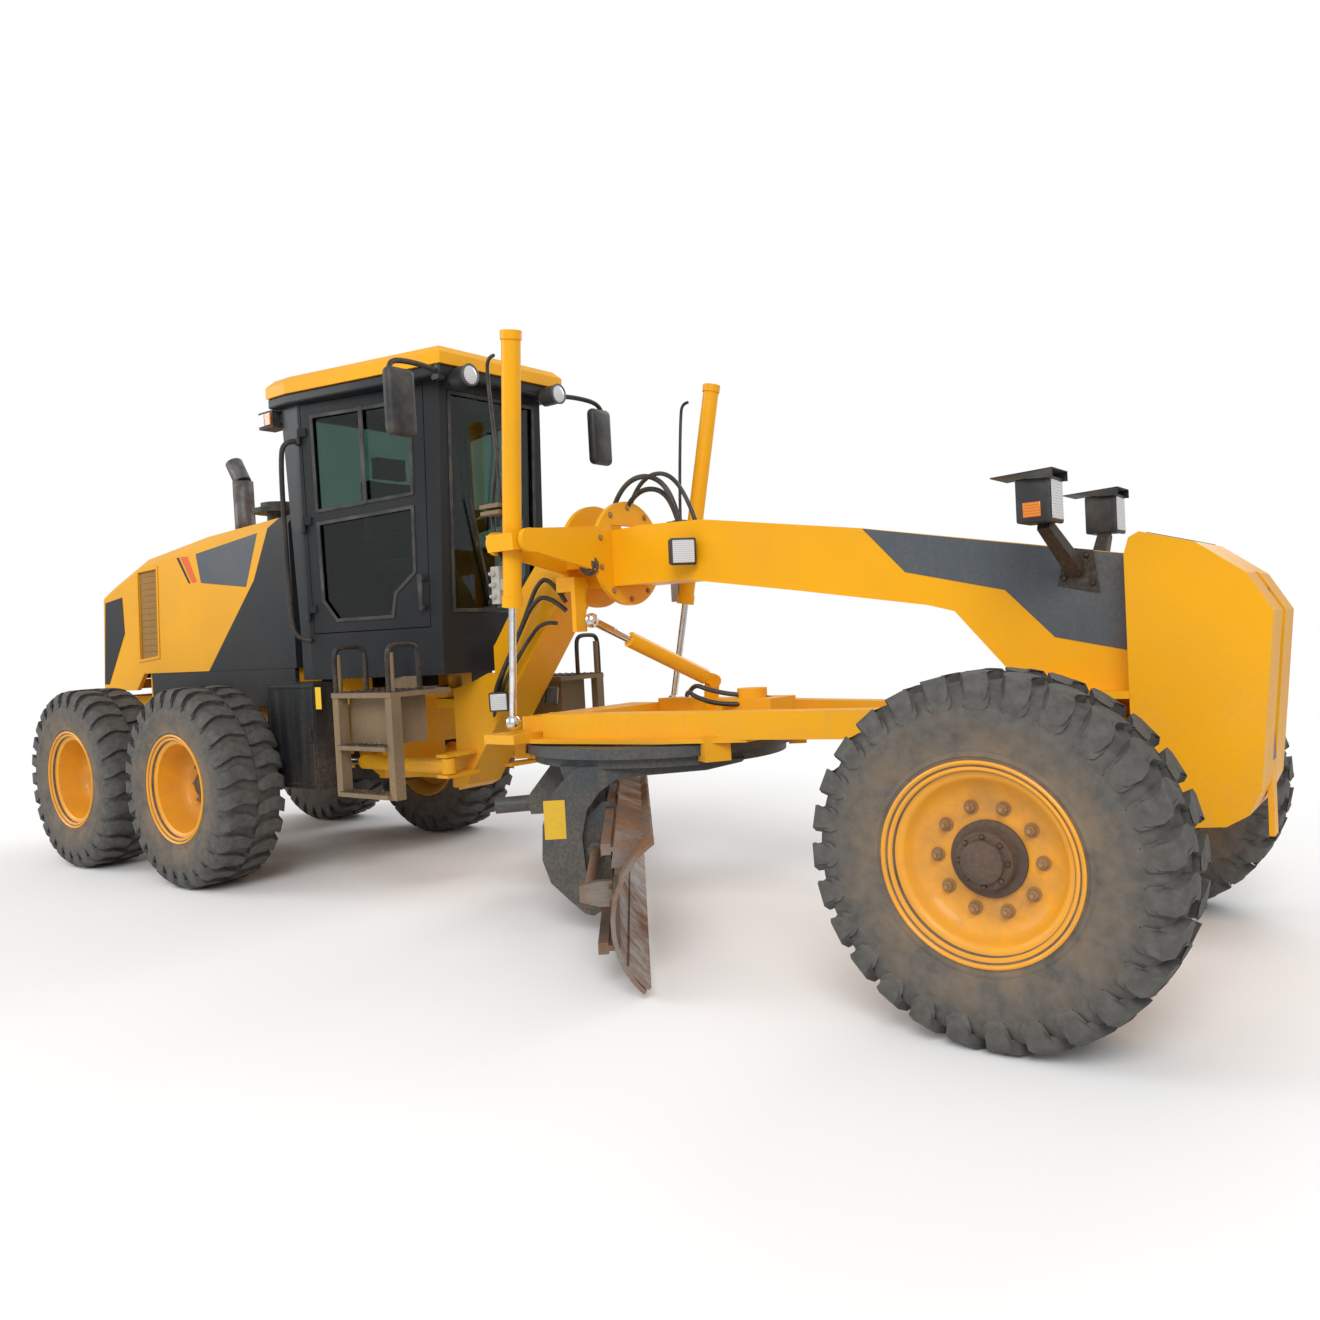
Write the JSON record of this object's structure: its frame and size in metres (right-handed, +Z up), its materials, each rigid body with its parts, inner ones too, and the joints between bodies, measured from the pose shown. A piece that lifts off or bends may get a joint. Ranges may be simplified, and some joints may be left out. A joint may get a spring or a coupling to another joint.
{
  "type": "motor grader",
  "caption": "Articulated motor grader with steered front wheels, tandem rear wheels, rear engine, tall cab and a blade hung from a drawbar and turning circle.",
  "frame": {"origin": "on the ground under the middle of the machine's length and width", "axes": "+X forward, +Y the machine's left, +Z up"},
  "size_m": [8.69, 2.9695, 3.315],
  "materials": {
    "yellow_paint": "semi-gloss paint, dusty",
    "dark_paint": "satin paint, dusty",
    "steel_grey": "worn paint on steel",
    "blade_steel": "scoured steel with rust",
    "chrome_rod": "hard chrome",
    "rim_paint": "muddy paint",
    "tyre_rubber": "dusty rubber",
    "cab_window": "tinted glass",
    "black_plastic": "moulded plastic",
    "seat_cloth": "woven cloth",
    "lamp_housing": "lamp lens and housing",
    "exhaust_steel": "heat-tinted steel"
  },
  "bodies": {
    "machine": {"rear_frame": "yellow_paint", "side_boxes": "dark_paint", "drive_axle": "steel_grey", "engine": "steel_grey", "hood": "yellow_paint", "hood_cowl": "dark_paint", "exhaust": "exhaust_steel", "air_precleaner": "black_plastic", "cab_frame": "dark_paint", "cab_roof": "yellow_paint", "cab_glass": "cab_window", "seat": "seat_cloth", "console": "black_plastic", "mirrors": "black_plastic", "cab_lamps": "lamp_housing", "ladders": "yellow_paint"},
    "rear_door": {"rear_grille": "dark_paint"},
    "cab_door_right": {"door_right": "dark_paint", "door_glass_right": "cab_window"},
    "cab_door_left": {"door_left": "dark_paint", "door_glass_left": "cab_window"},
    "front_section": {"front_frame": "yellow_paint", "nose": "yellow_paint", "lift_ring": "yellow_paint", "front_axle": "yellow_paint", "front_lamps": "dark_paint"},
    "steering_right": {"knuckle_right": "yellow_paint"},
    "steering_left": {"knuckle_left": "yellow_paint"},
    "tie_rod": {"steer_rod": "chrome_rod"},
    "ball_joint": {"drawbar_ball": "steel_grey"},
    "blade_drawbar": {"drawbar": "yellow_paint"},
    "blade_circle": {"circle": "steel_grey"},
    "blade_carrier": {"tilt_frame": "steel_grey"},
    "grader_blade": {"blade": "blade_steel"},
    "tilt_cylinder": {"tilt_barrel": "steel_grey"},
    "tilt_piston": {"tilt_rod": "chrome_rod"},
    "shift_cylinder": {"shift_barrel": "yellow_paint"},
    "shift_piston": {"shift_rod": "chrome_rod"},
    "yoke_right": {"lift_yoke_right": "yellow_paint"},
    "lift_cylinder_right": {"lift_barrel_right": "yellow_paint"},
    "lift_piston_right": {"lift_rod_right": "chrome_rod"},
    "articulation_cylinder_right": {"articulation_barrel_right": "yellow_paint"},
    "articulation_piston_right": {"articulation_rod_right": "chrome_rod"},
    "yoke_left": {"lift_yoke_left": "yellow_paint"},
    "lift_cylinder_left": {"lift_barrel_left": "yellow_paint"},
    "lift_piston_left": {"lift_rod_left": "chrome_rod"},
    "articulation_cylinder_left": {"articulation_barrel_left": "yellow_paint"},
    "articulation_piston_left": {"articulation_rod_left": "chrome_rod"},
    "wheel_front_right": {"rim_front_right": "rim_paint", "tyre_front_right": "tyre_rubber"},
    "wheel_front_left": {"rim_front_left": "rim_paint", "tyre_front_left": "tyre_rubber"},
    "wheel_mid_right": {"rim_mid_right": "rim_paint", "tyre_mid_right": "tyre_rubber"},
    "wheel_mid_left": {"rim_mid_left": "rim_paint", "tyre_mid_left": "tyre_rubber"},
    "wheel_rear_right": {"rim_rear_right": "rim_paint", "tyre_rear_right": "tyre_rubber"},
    "wheel_rear_left": {"rim_rear_left": "rim_paint", "tyre_rear_left": "tyre_rubber"}
  },
  "joints": [
    {"name": "rear_door_hinge", "type": "hinge", "parent": "machine", "child": "rear_door", "pos_m": [-4.316, -0.429, 1.376], "axis": [0.1027, 0, 0.9947], "range_deg": [0, 90]},
    {"name": "cab_door_right_hinge", "type": "hinge", "parent": "machine", "child": "cab_door_right", "pos_m": [-1.05, -0.718, 1.7], "axis": [0, 0, -1], "range_deg": [0, 90]},
    {"name": "cab_door_left_hinge", "type": "hinge", "parent": "machine", "child": "cab_door_left", "pos_m": [-1.05, 0.718, 1.7], "axis": [0, 0, 1], "range_deg": [0, 90]},
    {"name": "articulation", "type": "hinge", "parent": "machine", "child": "front_section", "pos_m": [-0.5, 0, 0.94], "axis": [0, 0, -1], "range_deg": [-25, 25]},
    {"name": "steer_right", "type": "hinge", "parent": "front_section", "child": "steering_right", "pos_m": [3.55, -0.76, 0.7], "axis": [0, 0, 1], "range_deg": [-40, 40]},
    {"name": "steer_left", "type": "hinge", "parent": "front_section", "child": "steering_left", "pos_m": [3.55, 0.76, 0.7], "axis": [0, 0, 1], "range_deg": [-40, 40]},
    {"name": "tie_rod_slide", "type": "slide", "parent": "front_section", "child": "tie_rod", "axis": [0, 1, 0], "range_m": [-0.11, 0.11]},
    {"name": "roll_front_right", "type": "hinge", "parent": "steering_right", "child": "wheel_front_right", "pos_m": [3.55, -1.05, 0.668], "axis": [0, 1, 0], "continuous": true},
    {"name": "roll_front_left", "type": "hinge", "parent": "steering_left", "child": "wheel_front_left", "pos_m": [3.55, 1.05, 0.668], "axis": [0, 1, 0], "continuous": true},
    {"name": "roll_mid_right", "type": "hinge", "parent": "machine", "child": "wheel_mid_right", "pos_m": [-1.89, -1.05, 0.668], "axis": [0, 1, 0], "continuous": true},
    {"name": "roll_mid_left", "type": "hinge", "parent": "machine", "child": "wheel_mid_left", "pos_m": [-1.89, 1.05, 0.668], "axis": [0, 1, 0], "continuous": true},
    {"name": "roll_rear_right", "type": "hinge", "parent": "machine", "child": "wheel_rear_right", "pos_m": [-3.41, -1.05, 0.668], "axis": [0, 1, 0], "continuous": true},
    {"name": "roll_rear_left", "type": "hinge", "parent": "machine", "child": "wheel_rear_left", "pos_m": [-3.41, 1.05, 0.668], "axis": [0, 1, 0], "continuous": true},
    {"name": "drawbar_swing", "type": "hinge", "parent": "front_section", "child": "ball_joint", "pos_m": [3.73, 0, 1.05], "axis": [0, 0, -1], "range_deg": [-2.5, 8]},
    {"name": "drawbar_lift", "type": "hinge", "parent": "ball_joint", "child": "blade_drawbar", "pos_m": [3.73, 0, 1.05], "axis": [0, 1, 0], "range_deg": [-13.2, 8.2]},
    {"name": "circle_turn", "type": "hinge", "parent": "blade_drawbar", "child": "blade_circle", "pos_m": [1.22, 0, 0.9], "axis": [0, 0, 1], "range_deg": [-78, 0]},
    {"name": "blade_pitch", "type": "hinge", "parent": "blade_circle", "child": "blade_carrier", "pos_m": [0.88583, -0.27061, 0.15], "axis": [-0.6293, 0.7771, 0], "range_deg": [0, 40]},
    {"name": "blade_side_shift", "type": "slide", "parent": "blade_carrier", "child": "grader_blade", "axis": [0.6293, -0.7771, 0], "range_m": [-0.351, 0.649]},
    {"name": "tilt_cylinder_swing", "type": "hinge", "parent": "blade_circle", "child": "tilt_cylinder", "pos_m": [0.66045, -0.45311, 0.6], "axis": [-0.6293, 0.7771, 0], "range_deg": [0, 14]},
    {"name": "tilt_piston_slide", "type": "slide", "parent": "tilt_cylinder", "child": "tilt_piston", "axis": [0.7767, 0.629, 0.0343], "range_m": [0, 0.307]},
    {"name": "yoke_right_turn", "type": "hinge", "parent": "front_section", "child": "yoke_right", "pos_m": [0.93, -0.81, 2.05], "axis": [1, 0, 0], "range_deg": [-8, 24]},
    {"name": "lift_cylinder_right_swing", "type": "hinge", "parent": "yoke_right", "child": "lift_cylinder_right", "pos_m": [0.93, -0.81, 2.05], "axis": [0, 0.9966, 0.0826], "range_deg": [-6, 4]},
    {"name": "lift_piston_right_slide", "type": "slide", "parent": "lift_cylinder_right", "child": "lift_piston_right", "axis": [0.1531, -0.0816, 0.9848], "range_m": [-0.67, 0.417]},
    {"name": "yoke_left_turn", "type": "hinge", "parent": "front_section", "child": "yoke_left", "pos_m": [0.93, 0.81, 2.05], "axis": [1, 0, 0], "range_deg": [-8, 24]},
    {"name": "lift_cylinder_left_swing", "type": "hinge", "parent": "yoke_left", "child": "lift_cylinder_left", "pos_m": [0.93, 0.81, 2.05], "axis": [0, 0.9966, -0.0826], "range_deg": [-6, 4]},
    {"name": "lift_piston_left_slide", "type": "slide", "parent": "lift_cylinder_left", "child": "lift_piston_left", "axis": [0.1531, 0.0816, 0.9848], "range_m": [-0.67, 0.417]},
    {"name": "shift_cylinder_swing", "type": "hinge", "parent": "blade_drawbar", "child": "shift_cylinder", "pos_m": [1.29, 0.45, 1.23], "axis": [0.8851, -0.4269, -0.1855], "range_deg": [-34, 21]},
    {"name": "shift_piston_slide", "type": "slide", "parent": "shift_cylinder", "child": "shift_piston", "axis": [-0.3144, -0.8422, 0.438], "range_m": [-0.187, 0.299]},
    {"name": "articulation_cylinder_right_swing", "type": "hinge", "parent": "front_section", "child": "articulation_cylinder_right", "pos_m": [-0.17, -0.38, 0.77], "axis": [0, 0, 1], "range_deg": [-19, 19]},
    {"name": "articulation_piston_right_slide", "type": "slide", "parent": "articulation_cylinder_right", "child": "articulation_piston_right", "axis": [-1, 0, 0], "range_m": [-0.168, 0.168]},
    {"name": "articulation_cylinder_left_swing", "type": "hinge", "parent": "front_section", "child": "articulation_cylinder_left", "pos_m": [-0.17, 0.38, 0.77], "axis": [0, 0, 1], "range_deg": [-19, 19]},
    {"name": "articulation_piston_left_slide", "type": "slide", "parent": "articulation_cylinder_left", "child": "articulation_piston_left", "axis": [-1, 0, 0], "range_m": [-0.168, 0.168]}
  ],
  "couplings": [
    {"joint": "steer_left", "follows": "steer_right", "ratio": 1},
    {"joint": "tie_rod_slide", "follows": "steer_right", "m_per_rad": -0.15},
    {"joint": "tilt_cylinder_swing", "follows": "blade_pitch", "ratio": 0.3287},
    {"joint": "tilt_piston_slide", "follows": "blade_pitch", "m_per_rad": 0.4352},
    {"joint": "yoke_right_turn", "follows": "drawbar_swing", "ratio": 2.8944},
    {"joint": "lift_cylinder_right_swing", "follows": "drawbar_lift", "ratio": 0.4368},
    {"joint": "lift_piston_right_slide", "follows": "drawbar_lift", "m_per_rad": 2.8943},
    {"joint": "yoke_left_turn", "follows": "drawbar_swing", "ratio": 2.9643},
    {"joint": "lift_cylinder_left_swing", "follows": "drawbar_lift", "ratio": 0.4368},
    {"joint": "lift_piston_left_slide", "follows": "drawbar_lift", "m_per_rad": 2.8943},
    {"joint": "shift_cylinder_swing", "follows": "drawbar_lift", "ratio": 2.5112},
    {"joint": "shift_piston_slide", "follows": "drawbar_lift", "m_per_rad": -1.2869},
    {"joint": "articulation_cylinder_right_swing", "follows": "articulation", "ratio": 0.7126},
    {"joint": "articulation_piston_right_slide", "follows": "articulation", "m_per_rad": -0.3771},
    {"joint": "articulation_cylinder_left_swing", "follows": "articulation", "ratio": 0.7126},
    {"joint": "articulation_piston_left_slide", "follows": "articulation", "m_per_rad": 0.3771}
  ]
}
